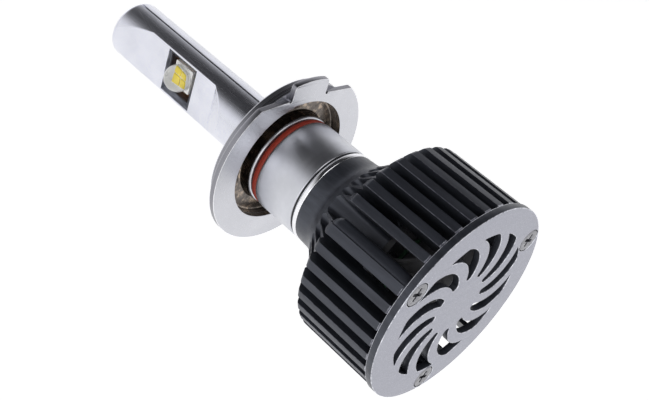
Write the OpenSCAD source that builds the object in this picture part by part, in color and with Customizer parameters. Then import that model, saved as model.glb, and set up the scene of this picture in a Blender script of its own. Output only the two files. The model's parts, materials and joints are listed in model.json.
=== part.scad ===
// LED headlight bulb with a prefocus flange, a finned heat sink and a cooling fan.
// +X runs forward along the bulb to the tip of the lamp stem, +Y is the side of the first lamp
// window, and +Z is the side of the locating tab.
// The origin is the centre of the flange's front face.

/* [Flange collar] */
// Outer radius of the flange plate
flange_r = 13; // [12.6:0.1:13.4]
// Thickness of the flange plate
flange_t = 0.85; // [0.7:0.05:1]
// Distance of the two chord flats from the centre
chord_h = 10.3; // [10:0.1:10.8]
// Width of the locating tab
tab_w = 6.2; // [5:0.1:7]
// Radius of the centring spigot in front of the flange
spigot_r = 11.6; // [11:0.1:11.9]
// Length of the centring spigot
spigot_len = 1.6; // [1.4:0.1:2]
// Outer radius of the open cup round the hub
cup_r = 9.4; // [8.6:0.1:9.8]
// Outer radius of the hub
hub_r = 7.05; // [6.9:0.05:7.2]

/* [Lamp stem] */
// Radius of the stem
stem_r = 4.4; // [4.3:0.05:4.42]
// Distance of the stem's tip from the flange
stem_tip = 34.3; // [33:0.1:36]
// Distance of each milled flat from the stem's centre plane
flat_y = 2.5; // [2.3:0.1:2.7]
// Distance of the lamps from the flange
lamp_x = 20.9; // [19:0.1:22]
// Side of the square lamp package
lamp_side = 3.8; // [3.4:0.05:4]
// Radius of the clear dome over each lamp
dome_r = 2; // [1.8:0.05:2.05]

/* [Barrel] */
// Outer radius of the barrel
barrel_r = 7; // [6.9:0.05:7.1]
// Distance of the barrel's front edge behind the flange
barrel_front = 2.06; // [2:0.02:2.2]
// Length of the barrel's visible part
barrel_len = 7.07; // [6.5:0.01:7.5]

/* [Heat sink] */
// Outer radius over the fins
fin_r = 14.45; // [14.2:0.05:14.5]
// Width of the gaps between the fins
gap_w = 1.35; // [1.2:0.05:1.4]
// Angle from one fin to the next
fin_pitch = 10.1; // [10:0.05:10.2]
// Distance of the fins' rear ends behind the flange
fin_rear = 31.3; // [31:0.05:31.6]
// Radius of the fan chamber
chamber_r = 11; // [10.8:0.1:11.2]

/* [Grille plate] */
// Outer radius of the grille plate
grille_r = 14.65; // [14.5:0.05:14.8]
// Thickness of the grille plate
grille_t = 1.05; // [1:0.05:1.4]
// Number of swirl slots in the grille
grille_slots = 12; // [10:1:12]
// Radius of the circle of grille screws
screw_circle_r = 12.8; // [12.7:0.05:12.9]

/* [Fan] */
// Radius over the fan blades
blade_r = 10.3; // [9.8:0.1:10.4]
// Number of fan blades
blade_count = 9; // [7:1:11]
// Outer radius of the rotor's hub
rotor_hub_r = 5.2; // [5.1:0.05:5.3]
// Number of stator poles
pole_count = 6; // [4:1:6]

/* [Hidden] */
$fn = 72;
eps = 0.01;
over = 1;                     // how far a cutter passes the face it cuts

// Collar
hub_rear = -1.1;
cup_floor_x = 0.95;
bore_r = 5.56;
spigot_chamfer = 0.2;
tab_r = 12.85;
tab_relief_r = 0.25;
grip_r_in = 5.54;
grip_r_out = 6.15;
grip_x = [0.25, 1.15];
grip_play = 0.05;

// Stem
stem_root = -4;
seam = 0.12;                  // half of the visible seam between the stem's halves
board_t = 1;
board_w = 6.8;
board_x = [-6.4, 32.4];
board_play = 0.05;
tip_round = 0.6;
root_ramp = [9.15, 13.35];    // where the flat runs out towards the flange
tip_ramp = 27.6;              // where the flat starts to rise towards the tip
rim_x = [-3.5, 2.75];         // ends of the lamp pocket at the flat, counted from the lamp
rim_z = 3.35;
well_x = [-2.65, 2.5];        // ends of the straight well that its sloping walls lead down to
well_z = 2.7;
well_top = 1.95;
package_top = 1.5;
dome_rise = 0.85;             // height of the straight wall under the dome
die_side = 0.85;
die_gap = 0.12;
die_t = 0.5;                  // height of a die with the base that lifts it into the dome
pin_r = 0.5;
pin_x = -2;
pin_z = 2.6;
pin_len = 6;

// Barrel
barrel_neck_r = 5.5;
barrel_neck_x = 2.3;
socket_r = 4.45;
cavity_r = 5.2;
barrel_rear = -(barrel_front + barrel_len);
thread_r = 6.2;
thread_x = -12.5;
seal_t = 0.22;
seal_r = 6.87;
o_ring_r = 6.92;
o_ring_power = 0.6;           // how square the squeezed ring's section is, 1 is an ellipse
trim_t = 0.8;
trim_r = 7.02;
ring_r_in = thread_r + 0.02;
trim_rear = barrel_rear - seal_t - trim_t;

// Heat sink
neck_r = 6.95;
driver_bore_r = 5.9;
bulkhead_x = [-23.4, -21.4];
gap_floor_r = 8.9;            // centre of the round bottom of each gap
gap_front = -13.2;
shoulder = [[-12.3, 7.1], [-13.1, 7.4], [-14.35, 8.35], [-16.3, 10.3], [-18.05, 12.2], [-18.1, 13.15],
    [-18.9, 14.3]];
fin_front = -19.2;
fin_edge = 0.3;
sector = 120;
first_screw = 30;
sector_fins = 11;
first_gap = 11.05;            // from the screw's direction to the first regular gap
wide_gap_extra = [3, 7];      // two more cuts that widen the gap beside each screw fin
post_r = 1.25;
post_front = -18.4;
screw_hole_r = 0.8;
screw_hole_front = -27.8;
outlet_angle = 242.4;
outlet_sector = 150;          // the screw fin whose sector holds the outlet
outlet_row = [6, 9];          // regular gaps that the outlet's own cuts replace, first and last
outlet_gaps = [-21.8, -11.7, -3.2, 0, 3.2, 11.2];
outlet_x = -18.9;
outlet_r = 2.3;
outlet_boss_r = 3.3;
outlet_boss_top = 12.4;
grommet_root = 6.2;
grommet_flange_r = 3;
grommet_flange_t = 0.8;
grommet_bore_r = 1.6;
lead_y = 0.8;
lead_z = [3.2, 4];
lead_hole_z = 3.6;
lead_hole_r = 1;
lead_r = 0.3;
led_lead_x = [-9.4, -4.6];
led_lead_z = 1.5;
fan_lead_front = -19.2;

// Grille plate and its screws
grille_rear = -(fin_rear + grille_t);
slot_r_in = 4.35;
slot_r_out = 10.95;
slot_outer = [7.23, -0.89];   // centre of the arc along a slot's outer side
slot_outer_r = 4.64;
slot_inner = [6.24, -3.28];   // the same for its inner side
slot_inner_r = 5.19;
face_edge = 0.25;
head_sink = 0.03;             // how far a screw head sits below the face
head_r = 1.6;
head_depth = 0.75;
shank_r = 0.78;
cross_w = 0.42;
cross_len = 1.9;
cross_depth = 0.5;

// Fan
base_t = 0.8;
base_r = 8.2;
base_rear = bulkhead_x[0] - base_t;
tube_r = 1.9;
tube_rear = -28;
bush_r = 1.3;
bush_x = [-27.9, -24.5];
shaft_r = 0.6;
shaft_x = [-28.9, -23.85];
shaft_play = 0.03;
clip_x = [-24.4, -24.1];
clip_r = [0.45, 1.05];
fan_screw_circle_r = 6.9;
fan_screw_r = 0.6;
fan_head_r = 1.1;
fan_head_t = 0.5;
fan_cross = [1.4, 0.3];
fan_board_r = [1.95, 4.7];
fan_board_t = 0.5;
stator_x = [-27.3, -25.3];
stator_hub_r = 2.5;
shoe_r = [3.5, 3.9];
pole_w = 0.9;
coil_w = 1.7;
coil_over = 0.35;
coil_play = [0.05, 0.15];
shoe_gap = 0.8;
magnet_r = [4.2, 4.7];
magnet_x = [-27.6, -25.2];
rotor_front = -25;
rotor_rear = -28.9;
rotor_wall = 0.5;
rotor_end_t = 0.75;
blade_x = [-28.6, -25.4];
blade_t = 0.45;
blade_sweep = 2.2;            // how far a blade leans round the hub along its length
blade_crown = 0.55;

// Driver
driver_x = [-20.4, -7.6];
driver_w = 9.2;
inductor_r = 2.4;
inductor_h = 2.5;
inductor_x = -16.2;
capacitor_r = 1.4;
capacitor_x = [-18.6, -13.6];
capacitor_z = 1.9;
chip_top = [[-13, 0.5, -2], [-10.2, 1.7, 2]];
chip_under = [[-11.8, -1.6, -2.4], [-9, -0.5, 0.6]];

// A solid of revolution about X from [x, radius] points
module turned(points) rotate([0, 90, 0]) rotate_extrude() polygon([for (p = points) [p[1], p[0]]]);

// A plain ring or disc about X between two stations
module ring(x0, x1, r_out, r_in = 0)
    translate([x0, 0, 0]) rotate([0, 90, 0]) difference() {
        cylinder(h = x1 - x0, r = r_out);
        if (r_in > 0) translate([0, 0, -over]) cylinder(h = x1 - x0 + 2 * over, r = r_in);
    }

// Extrudes an outline drawn in the Y-Z plane from x0 to x1
module plate(x0, x1) translate([x0, 0, 0]) rotate([90, 0, 90]) linear_extrude(x1 - x0) children();

// Extrudes an outline drawn in the X-Y plane, centred on the X-Y plane
module slab(h) translate([0, 0, -h / 2]) linear_extrude(h) children();

// Places children at a radius in a direction round X, counted from +Y towards +Z
module around(angle, r = 0) rotate([angle, 0, 0]) translate([0, r, 0]) children();

// A box between two opposite corners
module block(low, high) translate(low) cube(high - low);

// A cylinder along X whose axis passes through [y, z]
module rod(x0, x1, r, y = 0, z = 0) translate([0, y, z]) ring(x0, x1, r);

// Directions of the three screw fins
function screw_angles() = [for (k = [0:2]) first_screw + k * sector];

// Directions of the regular gap cuts of one sector, from its first gap to its last
function gap_row(screw, first, last) = [for (k = [first:last]) screw + first_gap + k * fin_pitch];

// Directions of every gap cut: the sector with the cable outlet has its own cuts round the outlet
function gap_angles() = concat(
    [for (screw = screw_angles(), extra = wide_gap_extra) screw + extra],
    [for (screw = screw_angles()) each screw == outlet_sector
        ? concat(gap_row(screw, 0, outlet_row[0] - 1), gap_row(screw, outlet_row[1] + 1, sector_fins - 1))
        : gap_row(screw, 0, sector_fins - 1)],
    [for (offset = outlet_gaps) outlet_angle + offset]);

module flange_outline() {
    tab_half = tab_w / 2;
    difference() {
        circle(r = flange_r);
        for (side = [-1, 1]) {
            translate([side * (tab_half + flange_r), chord_h + flange_r])
                square(2 * flange_r, center = true);
            translate([side * (tab_half + tab_relief_r), chord_h]) circle(r = tab_relief_r);
        }
        difference() {
            translate([-tab_half, chord_h]) square([tab_w, flange_r]);
            circle(r = tab_r);
        }
    }
}

module flange_collar() color("silver") difference() {
    union() {
        plate(-flange_t, 0) flange_outline();
        turned([[0, 0], [0, spigot_r], [spigot_len - spigot_chamfer, spigot_r],
            [spigot_len, spigot_r - spigot_chamfer], [spigot_len, 0]]);
        turned([[0, 0], [0, hub_r], [hub_rear + 0.2, hub_r], [hub_rear, hub_r - 0.2], [hub_rear, 0]]);
    }
    ring(hub_rear - over, cup_floor_x, cup_r, hub_r);
    ring(hub_rear - over, spigot_len + over, bore_r);
    ring(grip_x[0] - grip_play, grip_x[1] + grip_play, grip_r_out + grip_play);
}

module grip_ring() color("dimgray") ring(grip_x[0], grip_x[1], grip_r_out, grip_r_in);

// The milled flat of one stem half: it runs out towards the flange and rises towards the tip
module flat_cutter() {
    rise = stem_r + 0.1;
    slab(4 * stem_r) polygon([[root_ramp[0], rise], [root_ramp[1], flat_y], [tip_ramp, flat_y],
        [stem_tip + 0.3, rise], [stem_tip + 0.3, 2 * stem_r], [root_ramp[0], 2 * stem_r]]);
}

// The lamp pocket: sloping walls down to a straight well that ends at the board
module pocket_cutter() {
    top_y = flat_y + over;
    grow = over / (flat_y - well_top);
    function beyond(low, high) = high + (high - low) * grow;
    side_z = beyond(well_z, rim_z);
    translate([lamp_x, 0, 0]) {
        intersection() {
            slab(4 * stem_r) polygon([[well_x[0], well_top], [well_x[1], well_top],
                [beyond(well_x[1], rim_x[1]), top_y], [beyond(well_x[0], rim_x[0]), top_y]]);
            plate(-2 * stem_r, 2 * stem_r) polygon([[well_top, -well_z], [well_top, well_z],
                [top_y, side_z], [top_y, -side_z]]);
        }
        block([well_x[0], 0, -well_z], [well_x[1], flat_y, well_z]);
    }
}

module stem_half() {
    half_board = board_w / 2 + board_play;
    difference() {
        turned([[stem_root, 0], [stem_root, stem_r], [stem_tip - tip_round, stem_r],
            for (a = [75:-15:0])
                [stem_tip - tip_round * (1 - cos(a)), stem_r - tip_round * (1 - sin(a))],
            [stem_tip, 0]]);
        block([stem_root - over, -2 * stem_r, -2 * stem_r], [stem_tip + over, seam, 2 * stem_r]);
        block([stem_root - over, 0, -half_board], [board_x[1] + board_play, board_t / 2, half_board]);
        flat_cutter();
        pocket_cutter();
        for (z = [-pin_z, pin_z]) translate([pin_x, 0, z]) rotate([-90, 0, 0])
            cylinder(h = pin_len / 2, r = pin_r);
    }
}

module stem_left() color("gainsboro") stem_half();

module stem_right() color("gainsboro") mirror([0, 1, 0]) stem_half();

module core_board() color("peru") difference() {
    block([board_x[0], -board_t / 2, -board_w / 2], [board_x[1], board_t / 2, board_w / 2]);
    for (z = [-pin_z, pin_z]) translate([pin_x, -board_t, z]) rotate([-90, 0, 0])
        cylinder(h = 2 * board_t, r = pin_r);
}

module stem_pins() color("lightsteelblue") for (z = [-pin_z, pin_z])
    translate([pin_x, -pin_len / 2, z]) rotate([-90, 0, 0]) cylinder(h = pin_len, r = pin_r);

module led_package() block([lamp_x - lamp_side / 2, board_t / 2, -lamp_side / 2],
    [lamp_x + lamp_side / 2, package_top, lamp_side / 2]);

// Four square dies on their bases, two by two
module led_dies() {
    step = (die_side + die_gap) / 2;
    for (dx = [-step, step], dz = [-step, step])
        translate([lamp_x + dx - die_side / 2, package_top, dz - die_side / 2])
            cube([die_side, die_t, die_side]);
}

// A clear dome with a straight foot and room for the dies under it
module led_dome() translate([lamp_x, package_top, 0]) {
    room = die_side + die_gap / 2 + eps;
    difference() {
        union() {
            rotate([-90, 0, 0]) cylinder(h = dome_rise, r = dome_r);
            translate([0, dome_rise, 0]) sphere(r = dome_r);
        }
        block([-2 * dome_r, -2 * dome_r, -2 * dome_r], [2 * dome_r, 0, 2 * dome_r]);
        block([-room, -over, -room], [room, die_t + eps, room]);
    }
}

module led_package_left() color("ivory") led_package();

module led_package_right() color("ivory") mirror([0, 1, 0]) led_package();

module led_dies_left() color("gold") led_dies();

module led_dies_right() color("gold") mirror([0, 1, 0]) led_dies();

module led_dome_left() color("lightyellow", 0.4) led_dome();

module led_dome_right() color("lightyellow", 0.4) mirror([0, 1, 0]) led_dome();

module barrel() color("silver") difference() {
    turned([[barrel_neck_x, 0], [barrel_neck_x, barrel_neck_r - 0.2], [barrel_neck_x - 0.2, barrel_neck_r],
        [-barrel_front, barrel_neck_r], [-barrel_front, barrel_r - 0.3],
        [-barrel_front - 0.1, barrel_r - 0.1], [-barrel_front - 0.35, barrel_r],
        [barrel_rear + 0.25, barrel_r], [barrel_rear, barrel_r - 0.2], [barrel_rear, thread_r],
        [thread_x, thread_r], [thread_x, 0]]);
    ring(stem_root - 0.2, barrel_neck_x + over, socket_r);
    ring(thread_x - over, stem_root - 0.1, cavity_r);
}

// A soft ring squeezed between the hub and the barrel's shoulder
module o_ring() {
    x_mid = (hub_rear - 0.1 - barrel_front) / 2;
    half_x = (barrel_front + hub_rear - 0.1) / 2;
    r_mid = (barrel_neck_r + o_ring_r) / 2;
    half_r = (o_ring_r - barrel_neck_r) / 2;
    function bulge(t) = sign(t) * pow(abs(t), o_ring_power);
    color("firebrick") turned([for (a = [0:15:345])
        [x_mid + half_x * bulge(cos(a)), r_mid + half_r * bulge(sin(a))]]);
}

module neck_seal() color("black") ring(barrel_rear - seal_t, barrel_rear, seal_r, ring_r_in);

module trim_ring() color("whitesmoke") {
    front = barrel_rear - seal_t;
    turned([[front, ring_r_in], [front, seal_r], [front - 0.25, trim_r], [trim_rear + 0.15, trim_r],
        [trim_rear, neck_r], [trim_rear, ring_r_in]]);
}

// A parallel-walled gap with a round bottom
module fin_gap() {
    rod(-fin_rear - over, gap_front, gap_w / 2, gap_floor_r);
    block([-fin_rear - over, gap_floor_r, -gap_w / 2], [gap_front, fin_r + over, gap_w / 2]);
}

module heat_sink_blank() turned(concat([[trim_rear, 0], [trim_rear, neck_r]], shoulder,
    [[fin_front, fin_r], [-fin_rear + fin_edge, fin_r], [-fin_rear, fin_r - fin_edge], [-fin_rear, 0]]));

// The round column beside a screw fin that takes one grille screw
module screw_post() {
    rod(-fin_rear, post_front - post_r, post_r, screw_circle_r);
    translate([post_front - post_r, screw_circle_r, 0]) sphere(r = post_r);
}

// A cylinder across the bulb in the direction of the cable outlet, between two distances from the axis
module outlet_cylinder(from, to, r) around(outlet_angle) translate([outlet_x, from, 0])
    rotate([-90, 0, 0]) cylinder(h = to - from, r = r);

module heat_sink() color([0.13, 0.13, 0.15]) difference() {
    union() {
        difference() {
            heat_sink_blank();
            for (a = gap_angles()) around(a) fin_gap();
            ring(-fin_rear - over, bulkhead_x[0], chamber_r);
        }
        for (a = screw_angles()) around(a) screw_post();
        outlet_cylinder(gap_floor_r, outlet_boss_top, outlet_boss_r);
    }
    outlet_cylinder(outlet_boss_top, fin_r + over, outlet_boss_r + 0.1);
    outlet_cylinder(0, fin_r, outlet_r);
    ring(bulkhead_x[1], trim_rear + over, driver_bore_r);
    ring(thread_x - 0.1, trim_rear + over, thread_r + 0.02);
    for (a = screw_angles()) around(a)
        rod(-fin_rear - over, screw_hole_front, screw_hole_r, screw_circle_r);
    for (a = screw_angles()) around(a)
        rod(bulkhead_x[0] - over, bulkhead_x[1] - 0.5, fan_screw_r, fan_screw_circle_r);
    rod(bulkhead_x[0] - over, bulkhead_x[1] + over, lead_hole_r, lead_y, lead_hole_z);
}

// One swirl slot: a crescent between two arcs, kept inside the grille's open ring
module swirl_slot() {
    difference() {
        intersection() {
            translate(slot_outer) circle(r = slot_outer_r);
            circle(r = slot_r_out);
        }
        translate(slot_inner) circle(r = slot_inner_r);
        circle(r = slot_r_in);
    }
}

module grille_plate() color("slategray") difference() {
    turned([[grille_rear, 0], [grille_rear, grille_r - face_edge], [grille_rear + face_edge, grille_r],
        [-fin_rear - 0.1, grille_r], [-fin_rear, grille_r - 0.1], [-fin_rear, 0]]);
    for (k = [0:grille_slots - 1]) around(k * 360 / grille_slots)
        plate(grille_rear - over, -fin_rear + over) swirl_slot();
    for (a = screw_angles()) around(a, screw_circle_r) {
        rod(grille_rear - over, -fin_rear + over, shank_r + 0.1);
        translate([grille_rear, 0, 0]) rotate([0, 90, 0])
            cylinder(h = head_depth + 0.05, r1 = head_r + 0.05, r2 = shank_r);
    }
}

// A countersunk screw with a cross recess
module grille_screw() {
    front = grille_rear + head_sink;
    difference() {
        union() {
            translate([front, 0, 0]) rotate([0, 90, 0]) cylinder(h = head_depth, r1 = head_r, r2 = shank_r);
            rod(front + head_depth - eps, screw_hole_front - 0.2, shank_r);
        }
        for (turn = [20, 110]) rotate([turn, 0, 0])
            block([front - over, -cross_len / 2, -cross_w / 2],
                [front + cross_depth, cross_len / 2, cross_w / 2]);
    }
}

module grille_screws() color("gainsboro") for (a = screw_angles()) around(a, screw_circle_r) grille_screw();

module fan_base() color([0.1, 0.1, 0.1]) difference() {
    union() {
        ring(base_rear, bulkhead_x[0], base_r);
        ring(tube_rear, base_rear + eps, tube_r);
    }
    ring(tube_rear - over, bulkhead_x[0] - 0.25, bush_r);
    for (a = screw_angles()) around(a)
        rod(base_rear - over, bulkhead_x[0] + over, fan_screw_r + 0.05, fan_screw_circle_r);
    rod(base_rear - over, bulkhead_x[0] + over, lead_hole_r, lead_y, lead_hole_z);
}

module fan_screw() difference() {
    union() {
        ring(base_rear - fan_head_t, base_rear, fan_head_r);
        ring(base_rear - eps, bulkhead_x[1] - 0.6, fan_screw_r);
    }
    for (turn = [0, 90]) rotate([turn, 0, 0])
        block([base_rear - fan_head_t - over, -fan_cross[0] / 2, -fan_cross[1] / 2],
            [base_rear - fan_head_t / 2, fan_cross[0] / 2, fan_cross[1] / 2]);
}

module fan_screws() color("gray") for (a = screw_angles()) around(a, fan_screw_circle_r) fan_screw();

// Laminated core: a hub, straight poles and curved pole shoes
module stator_core() color("lightslategray") plate(stator_x[0], stator_x[1]) difference() {
    union() {
        circle(r = stator_hub_r);
        for (k = [0:pole_count - 1]) rotate(k * 360 / pole_count) translate([0, -pole_w / 2])
            square([shoe_r[0] + 0.1, pole_w]);
        difference() {
            circle(r = shoe_r[1]);
            circle(r = shoe_r[0]);
            for (k = [0:pole_count - 1]) rotate((k + 0.5) * 360 / pole_count) translate([0, -shoe_gap / 2])
                square([2 * shoe_r[1], shoe_gap]);
        }
    }
    circle(r = tube_r + 0.02);
}

module stator_coils() color([0.72, 0.45, 0.2]) for (k = [0:pole_count - 1]) around(k * 360 / pole_count)
    difference() {
        block([stator_x[0] - coil_over, stator_hub_r + coil_play[0], -coil_w / 2],
            [stator_x[1] + coil_over, shoe_r[0] - coil_play[1], coil_w / 2]);
        block([stator_x[0], 0, -pole_w / 2], [stator_x[1], fin_r, pole_w / 2]);
    }

module fan_board() color("darkgreen")
    ring(base_rear - fan_board_t, base_rear, fan_board_r[1], fan_board_r[0]);

module fan_bush() color("darkgoldenrod") ring(bush_x[0], bush_x[1], bush_r, shaft_r + shaft_play);

// One pitched blade, its cross-section a thin crowned band, drawn along the radius
module fan_blade() {
    steps = 8;
    run = [for (k = [0:steps]) k / steps];
    function skin(t, side) = [blade_x[0] + t * (blade_x[1] - blade_x[0]),
        blade_sweep * (t - 0.5) + blade_crown * 4 * t * (1 - t) + side * blade_t / 2];
    intersection() {
        rotate([-90, 0, 0]) linear_extrude(blade_r + over) polygon(concat([for (t = run) skin(t, 1)],
            [for (k = [0:steps]) skin(1 - k / steps, -1)]));
        ring(blade_x[0] - over, blade_x[1] + over, blade_r, rotor_hub_r - 0.1);
    }
}

module fan_rotor() color([0.16, 0.16, 0.17]) difference() {
    union() {
        turned([[rotor_front, rotor_hub_r], [rotor_rear + 0.4, rotor_hub_r],
            [rotor_rear, rotor_hub_r - 0.4], [rotor_rear, 0], [rotor_rear + rotor_end_t, 0],
            [rotor_rear + rotor_end_t, rotor_hub_r - rotor_wall], [rotor_front, rotor_hub_r - rotor_wall]]);
        for (k = [0:blade_count - 1]) around(k * 360 / blade_count) fan_blade();
    }
    ring(rotor_rear - over, rotor_rear + rotor_end_t + over, shaft_r);
}

module fan_magnet() color("dimgray") ring(magnet_x[0], magnet_x[1], magnet_r[1], magnet_r[0]);

module fan_shaft() color("lightgray") difference() {
    ring(shaft_x[0], shaft_x[1], shaft_r);
    ring(clip_x[0], clip_x[1], shaft_r + over, clip_r[0]);
}

module shaft_clip() color("white") ring(clip_x[0], clip_x[1], clip_r[1], clip_r[0]);

module driver_board() color("darkgreen")
    block([driver_x[0], -board_t / 2, -driver_w / 2], [driver_x[1], board_t / 2, driver_w / 2]);

module driver_chips() color([0.08, 0.08, 0.09]) {
    block(chip_top[0], chip_top[1]);
    block(chip_under[0], chip_under[1]);
}

module driver_inductor() color("darkslategray") translate([inductor_x, board_t / 2, 0])
    rotate([-90, 0, 0]) cylinder(h = inductor_h, r = inductor_r);

module driver_capacitors() color("mediumpurple") for (z = [-capacitor_z, capacitor_z])
    rod(capacitor_x[0], capacitor_x[1], capacitor_r, -board_t / 2 - capacitor_r, z);

module led_leads() color("red") for (z = [-led_lead_z, led_lead_z])
    rod(led_lead_x[0], led_lead_x[1], lead_r, lead_y, z);

module fan_leads() color("red") for (z = lead_z) rod(base_rear, fan_lead_front, lead_r, lead_y, z);

module cable_grommet() color([0.15, 0.15, 0.15]) difference() {
    union() {
        outlet_cylinder(grommet_root, outlet_boss_top + eps, outlet_r - 0.02);
        outlet_cylinder(outlet_boss_top, outlet_boss_top + grommet_flange_t, grommet_flange_r);
    }
    outlet_cylinder(0, fin_r, grommet_bore_r);
}

flange_collar();
grip_ring();
stem_left();
stem_right();
core_board();
led_package_left();
led_package_right();
led_dies_left();
led_dies_right();
led_dome_left();
led_dome_right();
stem_pins();
barrel();
o_ring();
neck_seal();
trim_ring();
heat_sink();
grille_plate();
grille_screws();
fan_base();
fan_screws();
stator_core();
stator_coils();
fan_board();
fan_bush();
fan_rotor();
fan_magnet();
fan_shaft();
shaft_clip();
driver_board();
driver_chips();
driver_inductor();
driver_capacitors();
led_leads();
fan_leads();
cable_grommet();
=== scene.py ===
"""Looks of an LED headlight bulb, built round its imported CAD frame.

+X runs forward to the stem's tip, +Y is the first lamp's side and +Z is the side of the flange's tab.
Blender works in metres. Sizes here are in millimetres, and MM scales them where a mesh is made.
"""
import json
import math

import bmesh
import bpy
from mathutils import Matrix, Vector


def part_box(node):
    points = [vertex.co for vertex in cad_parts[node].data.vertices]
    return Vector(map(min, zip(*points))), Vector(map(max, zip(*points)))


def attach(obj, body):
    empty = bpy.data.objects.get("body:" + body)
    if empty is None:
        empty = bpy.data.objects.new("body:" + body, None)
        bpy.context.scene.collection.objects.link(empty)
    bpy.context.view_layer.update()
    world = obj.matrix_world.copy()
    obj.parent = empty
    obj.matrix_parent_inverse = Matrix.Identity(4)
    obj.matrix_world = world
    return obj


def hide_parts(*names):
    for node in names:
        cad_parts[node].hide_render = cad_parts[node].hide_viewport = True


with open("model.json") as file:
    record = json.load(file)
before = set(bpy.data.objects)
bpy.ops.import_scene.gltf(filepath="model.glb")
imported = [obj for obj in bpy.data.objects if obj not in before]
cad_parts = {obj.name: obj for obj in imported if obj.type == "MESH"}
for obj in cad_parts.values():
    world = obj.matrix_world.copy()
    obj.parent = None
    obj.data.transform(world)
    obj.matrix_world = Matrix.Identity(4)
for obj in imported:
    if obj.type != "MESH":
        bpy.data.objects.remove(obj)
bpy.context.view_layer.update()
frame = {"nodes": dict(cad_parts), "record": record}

MM = 0.001


def node_box(node):
    """Lowest and highest corner of a CAD node, in millimetres."""
    low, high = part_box(node)
    return [v / MM for v in low], [v / MM for v in high]


# ---------------------------------------------------------------- sizes from the frame

collar_low, collar_high = node_box("flange_collar")
barrel_low, barrel_high = node_box("barrel")
seal_low, seal_high = node_box("neck_seal")
trim_low, trim_high = node_box("trim_ring")
o_ring_low, o_ring_high = node_box("o_ring")
sink_low, sink_high = node_box("heat_sink")
grille_low, grille_high = node_box("grille_plate")
stem_low, stem_high = node_box("stem_left")
package_low, package_high = node_box("led_package_left")
dies_low, dies_high = node_box("led_dies_left")
dome_low, dome_high = node_box("led_dome_left")
screws_low = node_box("grille_screws")[0]
fan_base_high = node_box("fan_base")[1]

HUB_REAR = collar_low[0]
SPIGOT_END = collar_high[0]
FLANGE_R = -collar_low[2]
TAB_R = collar_high[2]
BARREL_R = barrel_high[1]
BARREL_REAR = seal_high[0]
SINK_FRONT = sink_high[0]
SINK_REAR = sink_low[0]
FIN_R = 14.45
GRILLE_R = grille_high[1]
STEM_R = stem_high[2]
LAMP_X = (package_low[0] + package_high[0]) / 2

# Sizes inside the nodes, as in the CAD model
FLANGE_T = 0.85
CHORD_H = 10.3
TAB_HALF = 3.1
TAB_RELIEF_R = 0.25
SPIGOT_R = 11.6
CUP_R = 9.4
CUP_FLOOR = 0.95
HUB_R = 7.05
BORE_R = 5.56
GRIP_GROOVE_R = 6.2
GRIP_GROOVE = (0.2, 1.2)
BARREL_FRONT = -2.06
BARREL_NECK_R = 5.5
SOCKET_R = 4.45
CAVITY_R = 5.2
THREAD_R = 6.2
NECK_R = 6.95
SEAM = 0.12
FLAT_Y = 2.5
ROOT_RAMP = (9.15, 13.35)
TIP_RAMP = 27.6
TIP_ROUND = 0.6
RIM_X = (-3.5, 2.75)
RIM_Z = 3.35
WELL_X = (-2.65, 2.5)
WELL_Z = 2.7
WELL_TOP = 1.95
BOARD_Y = 0.5
DIE_T = 0.1
DIE_GAP = 0.12
DOME_SINK = 0.05
ROUND_STEPS = 20                     # on each round side of a stem half
GAP_W = 1.35
GAP_FLOOR_R = 8.9
FIN_PITCH = 10.1
FIRST_GAP = 11.05
GAPS_PER_SECTOR = 11
WIDE_GAP_START = 3.0
SCREW_ANGLES = (30, 150, 270)
SCREW_CIRCLE_R = 12.8
POST_R = 1.25
POST_FRONT = -18.4
FIN_CHAMFER = 0.045
CLOSE_SPACING = 0.055                # of the sink's stations where its gaps run out
PLAIN_SPACING = 0.8
CHAMBER_R = 11.0
DRIVER_BORE_R = 5.9
DRIVER_BORE_REAR = -21.4
HEAD_R = 1.6
HEAD_HOLE_R = HEAD_R + 0.1           # the grille's hole round a screw's head
SHANK_R = 0.8
SHANK_END = 3.5                      # from the head's face
CROSS_HALF = 0.21                    # half the width of the recess's arms
CROSS_REACH = 0.95
CROSS_DEPTH = 0.42
CROSS_TURN = 20
SCREW_HOLE_R = 0.95
SCREW_HOLE_DEPTH = 2.6
SLOT_COUNT = 12
SLOT_R = (4.35, 10.95)
SLOT_OUTER = ((7.23, -0.89), 4.64)   # circle of the crescent's bulging edge, seen along X
SLOT_INNER = ((6.24, -3.28), 5.19)   # circle of its hollow edge
SLOT_CORNER = 0.35                   # left off each edge for the rounded corner
OUTLET_ANGLE = 242.4
OUTLET_SECTOR = 150
OUTLET_ROW = (6, 9)
OUTLET_GAPS = ((-21.8, -21.8), (-11.7, -11.7), (-3.2, 3.2), (11.2, 11.2))
OUTLET_X = -18.9
OUTLET_BOSS_R = 3.3
OUTLET_BOSS_TOP = 12.4
OUTLET_R = 2.3
BOSS_ROOT = 8.0                      # heights of the boss and grommet are from the bulb's axis
GROMMET_ROOT = 6.3
GROMMET_BORE_R = 1.6
GROMMET_FLANGE_R = 3.0
GROMMET_TOP = OUTLET_BOSS_TOP + 0.8


# ---------------------------------------------------------------- mesh helpers

def to_scene(thing):
    bpy.context.scene.collection.objects.link(thing)


def polar(r, degrees):
    return r * math.cos(math.radians(degrees)), r * math.sin(math.radians(degrees))


def arc(centre, r, start, end, steps):
    """Points on a circle from one angle to another, both ends included, in degrees."""
    return [(centre[0] + r * math.cos(math.radians(start + (end - start) * k / steps)),
             centre[1] + r * math.sin(math.radians(start + (end - start) * k / steps)))
            for k in range(steps + 1)]


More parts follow.
